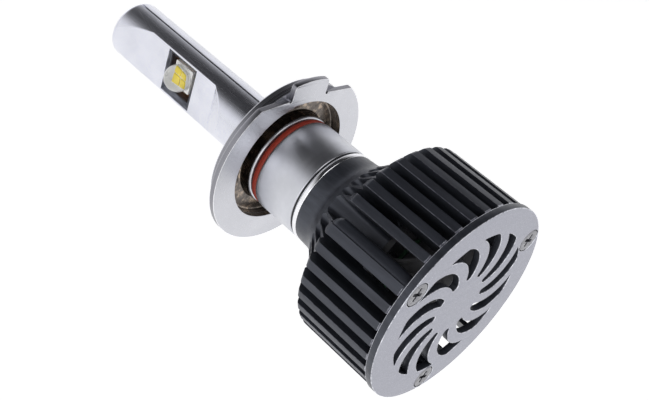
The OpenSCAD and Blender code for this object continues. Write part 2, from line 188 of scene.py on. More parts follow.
def rounded(points, closed=True, steps=4):
    """A polyline whose corners are rounded. A point is (a, b) or (a, b, distance cut from each side)."""
    count = len(points)
    result = []
    for k, point in enumerate(points):
        corner = Vector(point[:2])
        cut = point[2] if len(point) > 2 else 0
        if cut == 0 or (not closed and k in (0, count - 1)):
            result.append(tuple(corner))
            continue
        before = Vector(points[k - 1][:2]) - corner
        after = Vector(points[(k + 1) % count][:2]) - corner
        start = corner + before.normalized() * min(cut, before.length * 0.48)
        end = corner + after.normalized() * min(cut, after.length * 0.48)
        for step in range(steps + 1):
            t = step / steps
            result.append(tuple(start.lerp(corner, t).lerp(corner.lerp(end, t), t)))
    return result


def lathe(profile, segments=160):
    """Vertices and faces of a closed (x, r) profile turned about the X axis."""
    verts = [(x, *polar(r, 360 * s / segments)) for s in range(segments) for x, r in profile]
    n = len(profile)
    faces = []
    for s in range(segments):
        here, there = s * n, (s + 1) % segments * n
        for k in range(n):
            nxt = (k + 1) % n
            faces.append((here + k, here + nxt, there + nxt, there + k))
    return verts, faces


def smooth(mesh, sharp_degrees=28):
    """Merges doubled vertices, points faces outwards and shades smooth except at sharp edges."""
    work = bmesh.new()
    work.from_mesh(mesh)
    bmesh.ops.remove_doubles(work, verts=work.verts, dist=0.002 * MM)
    bmesh.ops.recalc_face_normals(work, faces=work.faces)
    for face in work.faces:
        face.smooth = True
    for edge in work.edges:
        edge.smooth = edge.is_manifold and edge.calc_face_angle(0) < math.radians(sharp_degrees)
    work.to_mesh(mesh)
    work.free()


def add(name, verts, faces, body, material, nodes=(), marked=(), finishes=()):
    """Makes a piece from millimetre vertices.

    marked is (material, face indices) pairs. finishes is (material, test) pairs, where the test takes a
    face's centre in millimetres and its normal.
    """
    mesh = bpy.data.meshes.new(name)
    mesh.from_pydata([Vector(v) * MM for v in verts], [], faces)
    mesh.materials.append(material)
    for other, indices in marked:
        mesh.materials.append(other)
        for index in indices:
            mesh.polygons[index].material_index = len(mesh.materials) - 1
    smooth(mesh)
    for other, test in finishes:
        mesh.materials.append(other)
        for face in mesh.polygons:
            if test(face.center / MM, face.normal):
                face.material_index = len(mesh.materials) - 1
    piece = bpy.data.objects.new(name, mesh)
    to_scene(piece)
    even = piece.modifiers.new("even_faces", "WEIGHTED_NORMAL")
    even.keep_sharp = True
    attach(piece, body)
    if nodes:
        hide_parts(*nodes)
    return piece


def merged(*parts):
    """Joins (verts, faces) pairs into one."""
    verts, faces = [], []
    for part_verts, part_faces in parts:
        base = len(verts)
        verts += [tuple(v) for v in part_verts]
        faces += [tuple(base + i for i in face) for face in part_faces]
    return verts, faces


def moved(part, matrix):
    return [tuple(matrix @ Vector(v)) for v in part[0]], part[1]


def plate(loops, x0, x1, bevel):
    """A flat plate between two stations whose (y, z) outline and holes have bevelled edges."""
    curve = bpy.data.curves.new("outline", "CURVE")
    curve.dimensions = "2D"
    curve.fill_mode = "BOTH"
    curve.extrude = (x1 - x0) / 2 - bevel
    curve.bevel_depth = bevel
    curve.bevel_resolution = 1
    curve.offset = -bevel
    for loop in loops:
        spline = curve.splines.new("POLY")
        spline.points.add(len(loop) - 1)
        for point, (y, z) in zip(spline.points, loop):
            point.co = (y, z, 0, 1)
        spline.use_cyclic_u = True
    carrier = bpy.data.objects.new("outline", curve)
    to_scene(carrier)
    mesh = bpy.data.meshes.new_from_object(carrier.evaluated_get(bpy.context.evaluated_depsgraph_get()))
    middle = (x0 + x1) / 2
    verts = [(v.co.z + middle, v.co.x, v.co.y) for v in mesh.vertices]
    faces = [tuple(p.vertices) for p in mesh.polygons]
    bpy.data.objects.remove(carrier)
    bpy.data.curves.remove(curve)
    bpy.data.meshes.remove(mesh)
    return verts, faces


def stack(sections, capped=True):
    """Vertices and faces through equal rings of points."""
    n = len(sections[0])
    verts = [p for section in sections for p in section]
    faces = []
    for s in range(len(sections) - 1):
        for k in range(n):
            nxt = (k + 1) % n
            faces.append((s * n + k, s * n + nxt, (s + 1) * n + nxt, (s + 1) * n + k))
    if capped:
        faces.append(tuple(range(n))[::-1])
        faces.append(tuple((len(sections) - 1) * n + k for k in range(n)))
    return verts, faces


# ---------------------------------------------------------------- material helpers

class Look:
    """A node material with one Principled shader, and short ways to feed it procedural detail."""

    def __init__(self, slot, colour, metallic=0.0, roughness=0.5, name=None):
        self.material = bpy.data.materials.new(name or slot)
        self.material.use_nodes = True
        self.material["slot"] = slot
        self.tree = self.material.node_tree
        self.bsdf = self.tree.nodes["Principled BSDF"]
        self.set("Base Color", (*colour, 1.0))
        self.set("Metallic", metallic)
        self.set("Roughness", roughness)
        self.normal = None

    def set(self, socket, value):
        self.bsdf.inputs[socket].default_value = value

    def node(self, kind, **inputs):
        node = self.tree.nodes.new(kind)
        for key, value in inputs.items():
            node.inputs[key.replace("_", " ")].default_value = value
        return node

    def link(self, output, target):
        self.tree.links.new(output, target)

    def coords(self, turned=False):
        """Object coordinates, or (x, radius) for marks that run round the X axis."""
        place = self.node("ShaderNodeTexCoord").outputs["Object"]
        if not turned:
            return place
        parts = self.node("ShaderNodeSeparateXYZ")
        self.link(place, parts.inputs[0])
        square_y = self.math("MULTIPLY", parts.outputs["Y"], parts.outputs["Y"])
        square_z = self.math("MULTIPLY", parts.outputs["Z"], parts.outputs["Z"])
        radius = self.math("SQRT", self.math("ADD", square_y, square_z))
        joined = self.node("ShaderNodeCombineXYZ")
        self.link(parts.outputs["X"], joined.inputs["X"])
        self.link(radius, joined.inputs["Y"])
        return joined.outputs[0]

    def math(self, operation, a, b=None):
        node = self.tree.nodes.new("ShaderNodeMath")
        node.operation = operation
        for slot, value in zip(node.inputs, (a, b)):
            if isinstance(value, (int, float)):
                slot.default_value = value
            elif value is not None:
                self.link(value, slot)
        return node.outputs[0]

    def scaled(self, scales, turned=False):
        """Coordinates multiplied by a scale along each axis."""
        node = self.node("ShaderNodeMapping", Scale=scales)
        self.link(self.coords(turned), node.inputs["Vector"])
        return node.outputs[0]

    def noise(self, size, stretch=(1, 1, 1), detail=3.0, turned=False):
        """Noise whose marks are about size millimetres, divided by stretch along each axis."""
        place = self.scaled([s / (size * MM) for s in stretch], turned)
        texture = self.node("ShaderNodeTexNoise", Scale=1.0, Detail=detail, Roughness=0.6)
        self.link(place, texture.inputs["Vector"])
        return texture.outputs["Fac"]

    def cells(self, size):
        """A random grey in each cell of about size millimetres."""
        place = self.scaled([1 / (size * MM)] * 3)
        texture = self.node("ShaderNodeTexVoronoi", Scale=1.0)
        self.link(place, texture.inputs["Vector"])
        parts = self.node("ShaderNodeSeparateXYZ")
        self.link(texture.outputs["Color"], parts.inputs[0])
        return parts.outputs[0]

    def ramp(self, factor, *stops):
        """Colours at (position, (r, g, b)) stops."""
        node = self.tree.nodes.new("ShaderNodeValToRGB")
        ends = node.color_ramp.elements
        for index, (position, colour) in enumerate(stops):
            stop = ends[index] if index < 2 else ends.new(position)
            stop.position = position
            stop.color = (*colour, 1.0)
        self.link(factor, node.inputs["Fac"])
        return node.outputs["Color"]

    def colour(self, factor, *stops):
        self.link(self.ramp(factor, *stops), self.bsdf.inputs["Base Color"])

    def tones(self, factor, dark, light):
        """Colour from dark to light over the middle of a factor's range."""
        self.colour(factor, (0.3, dark), (0.7, light))

    def roughness(self, factor, low, high):
        """Roughness from low to high over the middle of a factor's range."""
        node = self.node("ShaderNodeMapRange", From_Min=0.3, From_Max=0.7, To_Min=low, To_Max=high)
        self.link(factor, node.inputs["Value"])
        self.link(node.outputs[0], self.bsdf.inputs["Roughness"])

    def bump(self, height, depth):
        """Adds relief of about depth millimetres."""
        node = self.node("ShaderNodeBump", Strength=1.0, Distance=depth * MM)
        self.link(height, node.inputs["Height"])
        if self.normal:
            self.link(self.normal, node.inputs["Normal"])
        self.normal = node.outputs[0]
        self.link(self.normal, self.bsdf.inputs["Normal"])


def satin_nickel():
    look = Look("satin_nickel", (0.58, 0.56, 0.55), 1.0, 0.3)
    cloud = look.noise(5.0, detail=4)
    rings = look.noise(0.12, turned=True, detail=2)
    look.tones(cloud, (0.57, 0.575, 0.61), (0.62, 0.625, 0.66))
    look.roughness(look.noise(0.15), 0.26, 0.36)
    look.bump(rings, 0.0005)
    return look.material


def stem_aluminium():
    look = Look("stem_aluminium", (0.82, 0.82, 0.86), 1.0, 0.33)
    brushed = look.noise(0.06, (0.02, 1, 1))
    cloud = look.noise(4.0)
    look.tones(cloud, (0.66, 0.67, 0.73), (0.76, 0.77, 0.835))
    look.roughness(brushed, 0.18, 0.28)
    look.bump(brushed, 0.0012)
    return look.material


def pocket_shade():
    """The machined walls of the lamp pocket, painted much darker than the stem as painted shade in the
    recess.
    """
    look = Look("stem_aluminium", (0.16, 0.17, 0.20), 1.0, 0.35, name="pocket_shade")
    lines = look.noise(0.12, (0.06, 1, 0.06))
    look.tones(lines, (0.07, 0.075, 0.09), (0.24, 0.25, 0.29))
    look.roughness(lines, 0.3, 0.45)
    return look.material


def satin_chrome():
    look = Look("satin_chrome", (0.55, 0.56, 0.59), 1.0, 0.34)
    lines = look.noise(0.10, (1, 0.02, 0.02), turned=True)
    look.tones(look.noise(3.0), (0.57, 0.58, 0.615), (0.65, 0.66, 0.70))
    look.roughness(lines, 0.28, 0.38)
    look.bump(lines, 0.0012)
    return look.material


def polished_chrome():
    look = Look("polished_chrome", (0.86, 0.86, 0.88), 1.0, 0.08)
    look.roughness(look.noise(1.5), 0.05, 0.12)
    look.tones(look.noise(4.0), (0.83, 0.83, 0.85), (0.9, 0.9, 0.92))
    return look.material


def black_anodised():
    look = Look("black_anodised", (0.03, 0.031, 0.036), 0.55, 0.36)
    grain = look.noise(0.12, (0.25, 1, 1), detail=4)
    streaks = look.noise(0.9, (0.12, 1, 1), detail=5)
    look.tones(streaks, (0.034, 0.037, 0.047), (0.060, 0.066, 0.083))
    look.roughness(grain, 0.28, 0.46)
    look.bump(grain, 0.002)
    look.set("Specular IOR Level", 0.6)
    return look.material


def painted_edge_highlight(name, dark, light):
    """An anodised edge coloured bright as a painted highlight line, broken up here and there by noise."""
    look = Look("black_anodised", light, 1.0, 0.3, name=name)
    edge_highlight = look.noise(0.5, detail=4)
    look.colour(edge_highlight, (0.35, dark), (0.65, light))
    look.roughness(edge_highlight, 0.25, 0.4)
    return look.material


def cup_shade_and_reflection():
    """The polished floor and walls of the collar's open cup, painted dark as painted shade in the recess,
    with light brown streaks as painted reflections.
    """
    look = Look("satin_nickel", (0.12, 0.10, 0.09), 1.0, 0.22, name="cup_shade_and_reflection")
    cloud = look.noise(1.1, (0.5, 1, 1), detail=4)
    look.colour(cloud, (0.32, (0.07, 0.062, 0.056)), (0.52, (0.16, 0.14, 0.125)),
                (0.68, (0.46, 0.37, 0.29)))
    look.roughness(look.noise(0.12, turned=True), 0.18, 0.30)
    return look.material


def turned_rim():
    """The flange's turned side, coloured darker than its ground face."""
    look = Look("satin_nickel", (0.22, 0.22, 0.24), 1.0, 0.3, name="turned_rim")
    lines = look.noise(0.1, (1, 0.03, 0.03), turned=True, detail=2)
    look.tones(lines, (0.20, 0.20, 0.22), (0.34, 0.34, 0.37))
    look.roughness(lines, 0.24, 0.36)
    return look.material


def rim_edge_highlight():
    """The bevel that a cutter leaves between the flange's side and its face, coloured near white as a painted
    highlight line.
    """
    look = Look("satin_nickel", (0.9, 0.9, 0.92), 1.0, 0.2, name="rim_edge_highlight")
    highlight_breaks = look.noise(0.6)
    look.colour(highlight_breaks, (0.3, (0.78, 0.78, 0.81)), (0.6, (0.95, 0.95, 0.97)))
    look.roughness(highlight_breaks, 0.35, 0.5)
    return look.material


def grey_anodised():
    look = Look("grey_anodised", (0.42, 0.43, 0.48), 0.85, 0.42)
    sparkle = look.cells(0.07)
    blast = look.noise(0.10)
    look.colour(sparkle, (0.0, (0.32, 0.325, 0.37)), (0.94, (0.385, 0.39, 0.44)),
                (1.0, (0.50, 0.51, 0.56)))
    look.roughness(blast, 0.34, 0.5)
    look.bump(blast, 0.004)
    return look.material


def bright_steel():
    look = Look("steel", (0.24, 0.24, 0.25), 1.0, 0.26)
    marks = look.noise(0.25, detail=4)
    look.roughness(marks, 0.2, 0.36)
    look.tones(marks, (0.16, 0.16, 0.17), (0.32, 0.32, 0.34))
    return look.material


def core_steel():
    look = Look("core_steel", (0.3, 0.31, 0.33), 0.9, 0.4)
    sheets = look.noise(0.3, (1, 0.01, 0.01), detail=1)
    look.colour(sheets, (0.4, (0.14, 0.14, 0.15)), (0.6, (0.42, 0.43, 0.45)))
    return look.material


def rubber(slot, dark, light, roughness):
    look = Look(slot, light, 0.0, roughness)
    grain = look.noise(0.3, detail=4)
    look.tones(grain, dark, light)
    look.roughness(grain, roughness - 0.06, roughness + 0.08)
    look.bump(look.noise(0.08), 0.004)
    look.set("Specular IOR Level", 0.25)
    return look.material


def plastic(slot, dark, light, roughness, grain_size=0.15):
    look = Look(slot, light, 0.0, roughness)
    grain = look.noise(grain_size)
    look.tones(look.noise(2.0), dark, light)
    look.roughness(grain, roughness - 0.06, roughness + 0.08)
    look.bump(grain, 0.003)
    return look.material


def metal(slot, dark, light, roughness, stretch=(1, 1, 1)):
    look = Look(slot, light, 1.0, roughness)
    marks = look.noise(0.2, stretch)
    look.tones(marks, dark, light)
    look.roughness(marks, roughness - 0.08, roughness + 0.1)
    return look.material


def ferrite():
    look = Look("ferrite", (0.07, 0.07, 0.075), 0.3, 0.5)
    grain = look.noise(0.1, detail=4)
    look.tones(grain, (0.045, 0.045, 0.05), (0.10, 0.10, 0.11))
    look.bump(grain, 0.004)
    return look.material


def phosphor():
    look = Look("phosphor", (0.86, 0.66, 0.04), 0.0, 0.45)
    grain = look.noise(0.08)
    look.tones(grain, (0.90, 0.66, 0.03), (0.98, 0.84, 0.10))
    look.bump(grain, 0.004)
    return look.material


def clear_silicone():
    look = Look("clear_silicone", (0.98, 0.98, 0.97), 0.0, 0.03)
    look.set("Transmission Weight", 1.0)
    look.set("IOR", 1.41)
    look.roughness(look.noise(0.6), 0.01, 0.05)
    return look.material


MATERIALS = {
    "satin_nickel": satin_nickel(),
    "stem_aluminium": stem_aluminium(),
    "satin_chrome": satin_chrome(),
    "polished_chrome": polished_chrome(),
    "black_anodised": black_anodised(),
    "grey_anodised": grey_anodised(),
    "steel": bright_steel(),
    "core_steel": core_steel(),
    "ferrite": ferrite(),
    "phosphor": phosphor(),
    "clear_silicone": clear_silicone(),
    "red_rubber": rubber("red_rubber", (0.20, 0.022, 0.012), (0.31, 0.036, 0.02), 0.5),
    "dark_rubber": rubber("dark_rubber", (0.012, 0.012, 0.013), (0.028, 0.028, 0.03), 0.6),
    "copper": metal("copper", (0.52, 0.24, 0.10), (0.74, 0.38, 0.18), 0.28, (0.1, 1, 1)),
    "bush_brass": metal("bush_brass", (0.50, 0.36, 0.13), (0.66, 0.50, 0.22), 0.35),
    "ceramic": plastic("ceramic", (0.93, 0.93, 0.91), (0.98, 0.98, 0.96), 0.35, 0.05),
    "black_plastic": plastic("black_plastic", (0.018, 0.018, 0.02), (0.034, 0.034, 0.037), 0.42),
    "white_plastic": plastic("white_plastic", (0.74, 0.74, 0.72), (0.84, 0.84, 0.82), 0.45),
    "board_green": plastic("board_green", (0.01, 0.045, 0.02), (0.016, 0.07, 0.03), 0.4),
    "capacitor_sleeve": plastic("capacitor_sleeve", (0.07, 0.06, 0.17), (0.12, 0.11, 0.26), 0.3),
    "lead_sleeve": plastic("lead_sleeve", (0.42, 0.02, 0.02), (0.58, 0.04, 0.035), 0.38),
}
# The edge colours below are painted highlight lines and glints; the cup and pocket colours are painted shade.
CUT_EDGE_HIGHLIGHT = painted_edge_highlight("cut_edge_highlight", (0.045, 0.045, 0.055), (0.16, 0.165, 0.19))
GLINT = painted_edge_highlight("glint", (0.25, 0.25, 0.28), (0.6, 0.61, 0.65))
GRILLE_EDGE_HIGHLIGHT = painted_edge_highlight("grille_edge_highlight", (0.30, 0.31, 0.35), (0.8, 0.81, 0.86))
CUP_SHADE_AND_REFLECTION = cup_shade_and_reflection()
POCKET_SHADE = pocket_shade()
TURNED_RIM = turned_rim()
RIM_EDGE_HIGHLIGHT = rim_edge_highlight()


# ---------------------------------------------------------------- flange collar

def flange_outline():
    flat_end = math.degrees(math.acos(CHORD_H / FLANGE_R))
    relief_y = TAB_HALF + TAB_RELIEF_R
    tab_corner = math.sqrt(TAB_R ** 2 - TAB_HALF ** 2)
    rim = arc((0, 0), FLANGE_R, 90 + flat_end, 450 - flat_end, 120)
    right_relief = arc((relief_y, CHORD_H), TAB_RELIEF_R, 0, -180, 8)
    left_relief = arc((-relief_y, CHORD_H), TAB_RELIEF_R, 0, -180, 8)
    corner_angle = math.degrees(math.atan2(tab_corner, TAB_HALF)) + 3
    top = arc((0, 0), TAB_R, corner_angle, 180 - corner_angle, 10)
    tab = rounded([(TAB_HALF, CHORD_H), (TAB_HALF, tab_corner, 0.6), *top, (-TAB_HALF, tab_corner, 0.6),
                   (-TAB_HALF, CHORD_H)], closed=False)
    return rim[1:-1] + right_relief + tab[1:-1] + left_relief


def flange_collar():
    hole = arc((0, 0), CUP_R, 360, 0, 120)[:-1]
    flange = plate([flange_outline(), hole], -FLANGE_T, 0, 0.07)
    hub = lathe(rounded([
        (0, CUP_R), (0, SPIGOT_R, 0.02), (SPIGOT_END, SPIGOT_R, 0.22), (SPIGOT_END, BORE_R, 0.15),
        (GRIP_GROOVE[1], BORE_R), (GRIP_GROOVE[1], GRIP_GROOVE_R), (GRIP_GROOVE[0], GRIP_GROOVE_R),
        (GRIP_GROOVE[0], BORE_R), (HUB_REAR, BORE_R, 0.3), (HUB_REAR, HUB_R, 0.42),
        (CUP_FLOOR, HUB_R, 0.35), (CUP_FLOOR, CUP_R, 0.35)]), 192)

    def in_cup(centre, normal):
        r = math.hypot(centre.y, centre.z)
        return HUB_R - 0.01 < r < CUP_R + 0.01 and centre.x < SPIGOT_END - 0.3 and centre.x > HUB_REAR + 0.3

    def outside(centre):
        return math.hypot(centre.y, centre.z) > SPIGOT_R - 0.05 or centre.z > CHORD_H - 0.3

    def on_side(centre, normal):
        return outside(centre) and abs(normal.x) < 0.3 and centre.x < SPIGOT_END - 0.25

    def on_bevel(centre, normal):
        return outside(centre) and 0.3 < abs(normal.x) < 0.95 and centre.x < -FLANGE_T / 2

    # The cup is painted dark as painted shade with streaks of painted reflection, and the bevel between the
    # flange's side and face is a painted highlight line.
    add("collar", *merged(flange, hub), "collar", MATERIALS["satin_nickel"], ["flange_collar"],
        finishes=[(CUP_SHADE_AND_REFLECTION, in_cup), (TURNED_RIM, on_side), (RIM_EDGE_HIGHLIGHT, on_bevel)])


# ---------------------------------------------------------------- barrel, seals and trim ring

def barrel():
    cavity_front = -4.15
    add("barrel_shell", *lathe(rounded([
        (barrel_high[0], SOCKET_R, 0.1), (barrel_high[0], BARREL_NECK_R, 0.2), (BARREL_FRONT, BARREL_NECK_R),
        (BARREL_FRONT, BARREL_R, 0.34), (BARREL_REAR, BARREL_R, 0.22), (BARREL_REAR, THREAD_R),
        (barrel_low[0], THREAD_R, 0.15), (barrel_low[0], CAVITY_R), (cavity_front, CAVITY_R),
        (cavity_front, SOCKET_R)]), 192), "bulb", MATERIALS["satin_chrome"], ["barrel"])


def o_ring():
    middle = (o_ring_low[0] + o_ring_high[0]) / 2
    half = (o_ring_high[0] - o_ring_low[0]) / 2
    r_in, r_out = BARREL_NECK_R + 0.02, o_ring_high[1]
    corner = 0.36
    add("o_ring_seal", *lathe(rounded([
        (middle - half, r_in, corner), (middle + half, r_in, corner), (middle + half, r_out, corner),
        (middle - half, r_out, corner)], steps=6), 192), "bulb", MATERIALS["red_rubber"], ["o_ring"])


def neck_seal():
    add("neck_seal_ring", *lathe(rounded([
        (seal_low[0], THREAD_R + 0.02), (seal_high[0], THREAD_R + 0.02), (seal_high[0], seal_high[1], 0.05),
        (seal_low[0], seal_high[1], 0.05)]), 160), "bulb", MATERIALS["dark_rubber"], ["neck_seal"])


def trim_ring():
    front, rear = trim_high[0], trim_low[0]
    r_out = trim_high[1]
    add("trim_ring_band", *lathe(rounded([
        (rear, THREAD_R + 0.02), (front, THREAD_R + 0.02), (front, seal_high[1], 0.05),
        (front - 0.25, r_out, 0.08), (rear + 0.15, r_out, 0.1), (rear, NECK_R, 0.04)]), 192),
        "bulb", MATERIALS["polished_chrome"], ["trim_ring"])


# ---------------------------------------------------------------- lamp stem

def stem_radius(x):
    """Radius of the stem at a station: full, then rounded off at the tip."""
    into_tip = x - (stem_high[0] - TIP_ROUND)
    if into_tip <= 0:
        return STEM_R
    return STEM_R - TIP_ROUND + math.sqrt(max(TIP_ROUND ** 2 - into_tip ** 2, 0))


def flat_height(x):
    """Distance of the milled flat from the stem's centre plane."""
    rise = STEM_R + 0.1
    if x < ROOT_RAMP[1]:
        return FLAT_Y + (rise - FLAT_Y) * (ROOT_RAMP[1] - x) / (ROOT_RAMP[1] - ROOT_RAMP[0])
    if x > TIP_RAMP:
        return FLAT_Y + (rise - FLAT_Y) * (x - TIP_RAMP) / (stem_high[0] + 0.3 - TIP_RAMP)
    return FLAT_Y


def stem_section(x, side):
    """Outline of one stem half: round side, flat, round side, and the parting face."""
    chamfer = 0.07
    r = stem_radius(x)
    height = flat_height(x)
    reach = math.sqrt(max(r * r - height * height, 0))
    chamfer_here = min(chamfer, reach * 0.4)
    corner = math.degrees(math.atan2(reach, min(height, r)))
    seam_angle = math.degrees(math.acos((SEAM + chamfer) / r))
    corner_start = corner + math.degrees(chamfer_here / r)
    points = [(SEAM, -(r - chamfer))]
    points += [polar(r, -a) for a in
               [seam_angle + (corner_start - seam_angle) * k / ROUND_STEPS for k in range(ROUND_STEPS + 1)]]
    pocket_rim = (RIM_Z + 0.05) / math.sqrt(STEM_R ** 2 - FLAT_Y ** 2)
    edge = reach - chamfer_here
    flat_top = min(height, r) if reach > 0 else r
    for share in (-1, -pocket_rim, 0, pocket_rim, 1):
        z = reach * share if abs(share) < 1 else edge * share
        points.append((flat_top, z))
    points += [polar(r, a) for a in
               [corner_start + (seam_angle - corner_start) * k / ROUND_STEPS for k in range(ROUND_STEPS + 1)]]
    points.append((SEAM, r - chamfer))
    return [(x, side * y, z) for y, z in points]


def stem_half(name, side, node):
    pocket_x = (LAMP_X + RIM_X[0] - 0.05, LAMP_X + RIM_X[1] + 0.05)
    root_end = [ROOT_RAMP[0] + 0.2 + (ROOT_RAMP[1] - ROOT_RAMP[0] - 0.2) * (k / 16) ** 2 for k in range(17)]
    tip_run = [TIP_RAMP + (stem_high[0] - TIP_ROUND - TIP_RAMP) * k / 24 for k in range(25)]
    tip_curve = [stem_high[0] - TIP_ROUND * (1 - math.sin(math.radians(a))) for a in range(9, 91, 9)]
    stations = [stem_low[0], stem_low[0] + 0.01, 8.0, *root_end, 15.0, *pocket_x, 25.5, *tip_run, *tip_curve]
    stations = sorted(set(round(x, 4) for x in stations))
    sections = [stem_section(x, side) for x in stations]
    verts, faces = stack(sections)
    count = len(sections[0])
    first_flat = ROUND_STEPS + 2
    pocket_station = stations.index(round(pocket_x[0], 4))
    opening = [pocket_station * count + first_flat + k for k in (1, 2)]
    faces = [face for index, face in enumerate(faces) if index not in opening]
    rim = pocket(side)

    def in_pocket(centre, normal):
        inside = RIM_X[0] - 0.01 < centre.x - LAMP_X < RIM_X[1] + 0.01 and abs(centre.z) < RIM_Z + 0.01
        return inside and abs(centre.y) < FLAT_Y - 0.04

    # The pocket's walls are painted dark as painted shade.
    add(name, *merged((verts, faces), rim), "bulb", MATERIALS["stem_aluminium"], [node],
        finishes=[(POCKET_SHADE, in_pocket)])


def pocket(side):
    """The lamp pocket: a bevelled rim, four sloping walls, and a straight well down to the board."""
    loops = [(RIM_X[0] - 0.05, RIM_X[1] + 0.05, RIM_Z + 0.05, FLAT_Y),
             (RIM_X[0], RIM_X[1], RIM_Z, FLAT_Y - 0.05),
             (WELL_X[0] - 0.05, WELL_X[1] + 0.04, WELL_Z + 0.05, WELL_TOP + 0.05),
             (WELL_X[0], WELL_X[1], WELL_Z, WELL_TOP - 0.04), (WELL_X[0], WELL_X[1], WELL_Z, BOARD_Y)]
    sections = []
    for x0, x1, half_z, y in loops:
        ring = [(x0, -half_z), (x1, -half_z), (x1, 0), (x1, half_z), (x0, half_z), (x0, 0)]
        sections.append([(LAMP_X + dx, side * y, dz) for dx, dz in ring])
    return stack(sections, capped=False)


# ---------------------------------------------------------------- lamps

def lamp(name, side, node_side):
    """A square ceramic package, four dies and a clear dome."""
    half = (package_high[0] - package_low[0]) / 2
    top = package_high[1]
    turn = Matrix.Translation((LAMP_X, 0, 0)) @ Matrix.Rotation(math.radians(90 * side), 4, "Z")

    def square(size, corner):
        return rounded([(-size, -size, corner), (size, -size, corner), (size, size, corner),
                        (-size, size, corner)], steps=3)

    # The plates are drawn along +X and turned to face out of the pocket
    package = plate([square(half, 0.18)], BOARD_Y, top - 0.02, 0.05)
    frame_ring = plate([square(half - 0.1, 0.2), square(half - 0.3, 0.2)[::-1]], top - 0.03, top, 0.012)
    reach = (dies_high[0] - dies_low[0]) / 2
    step = reach / 2 + DIE_GAP / 4
    die_foot = dies_high[1] - DIE_T
    base_plate = plate([square(reach + 0.1, 0.08)], top - 0.02, die_foot, 0.03)
    add(f"{name}_package", *moved(merged(package, frame_ring, base_plate), turn), "bulb",
        MATERIALS["ceramic"], [f"led_package_{node_side}"])
    dies = []
    for dy in (-step, step):
        for dz in (-step, step):
            die = [(y + dy, z + dz) for y, z in square(reach - step, 0.05)]
            dies.append(plate([die], die_foot, dies_high[1], 0.025))
    add(f"{name}_dies", *moved(merged(*dies), turn), "bulb", MATERIALS["phosphor"],
        [f"led_dies_{node_side}"])
    r = (dome_high[0] - dome_low[0]) / 2
    # The dome's foot sits a little inside the package, as silicone bonded to it has no air film
    base = dome_low[1] - DOME_SINK
    height = dome_high[1] - base
    shell = [(base, r)] + [(base + height - r + r * math.sin(math.radians(a)),
                            max(r * math.cos(math.radians(a)), 0.001)) for a in range(0, 91, 3)]
    add(f"{name}_dome", *moved(lathe(shell + [(base + 0.001, 0.001)], 96), turn), "bulb",
        MATERIALS["clear_silicone"], [f"led_dome_{node_side}"])


# ---------------------------------------------------------------- heat sink

def sink_gaps():
    """First and last cutter angle of each gap, all the way round."""
    gaps = []
    for screw in SCREW_ANGLES:
        row = [(screw + FIRST_GAP + k * FIN_PITCH,) * 2 for k in range(GAPS_PER_SECTOR)]
        row[0] = (screw + WIDE_GAP_START, screw + FIRST_GAP)
        if screw == OUTLET_SECTOR:
            own_gaps = [(OUTLET_ANGLE + a, OUTLET_ANGLE + b) for a, b in OUTLET_GAPS]
            row[OUTLET_ROW[0]:OUTLET_ROW[1] + 1] = own_gaps
        gaps += row
    return gaps


def gap_start(r_out):
    """Where a surface of radius r_out meets a gap's round bottom: 0 at its side, 90 at its lowest point."""
    half = GAP_W / 2
    rise = (GAP_FLOOR_R ** 2 + half ** 2 - r_out ** 2) / (2 * GAP_FLOOR_R * half)
    return math.degrees(math.asin(min(max(rise, 0), 1)))


def gap_chamfer(r_out):
    lowest = GAP_FLOOR_R - GAP_W / 2
    return FIN_CHAMFER * min(max((r_out - lowest) / 0.7, 0), 1)


def gap_reach(r_out):
    """Angle from a gap's middle to the edge of its cut corner on a surface of radius r_out."""
    half = GAP_W / 2 * math.cos(math.radians(gap_start(r_out)))
    return math.degrees(math.asin(min(half / r_out, 1)) + gap_chamfer(r_out) / r_out)


def gap_side(angle, r_out, side):
    """One side of a gap in the (y, z) plane, from the surface down to the gap's lowest point."""
    half = GAP_W / 2
    start = gap_start(r_out)
    chamfer = gap_chamfer(r_out)

    def local(s, t):
        (cy, cz), (ty, tz) = polar(1, angle), polar(1, angle + 90 * side)
        shrink = min(1, r_out / math.hypot(s, t))
        return (cy * s + ty * t) * shrink, (cz * s + tz * t) * shrink

    points = [polar(r_out, angle + side * gap_reach(r_out))]
    bottom_start = start
    if start == 0:
        points += [local(math.sqrt(r_out ** 2 - half ** 2) - chamfer, half), local(GAP_FLOOR_R, half)]
    else:
        bottom_start = min(start + math.degrees(chamfer / half), 90)
    bottom = [math.radians(bottom_start + (90 - bottom_start) * k / 6) for k in range(7)]
    bottom = [local(GAP_FLOOR_R - half * math.sin(a), half * math.cos(a)) for a in bottom]
    if start > 0:
        points += [bottom[0], bottom[0]]
    return points + bottom


def gap_outline(first, last, r_out):
    """One gap from wall to wall. A wide gap has a floor between its two outer cuts."""
    down = gap_side(first, r_out, -1)
    up = gap_side(last, r_out, 1)[::-1]
    if first == last:
        return down + up[1:]
    floor_r = min(GAP_FLOOR_R - GAP_W / 2, r_out)
    return down + [polar(floor_r, first + (last - first) * k / 6) for k in range(1, 6)] + up


def sink_section(x, r_out):
    """Whole outline of the heat sink at one station, and which of its edges are cut corners."""
    points, corners = [], []
    gaps = sink_gaps()
    reach = gap_reach(r_out)
    for index, (first, last) in enumerate(gaps):
        outline = gap_outline(first, last, r_out)
        corners += [len(points), len(points) + len(outline) - 2]
        points += outline
        next_first = gaps[(index + 1) % len(gaps)][0] + (360 if index == len(gaps) - 1 else 0)
        start, end = last + reach, next_first - reach
        points += [polar(r_out, start + (end - start) * k / 6) for k in range(1, 6)]
    return [(x, y, z) for y, z in points], corners


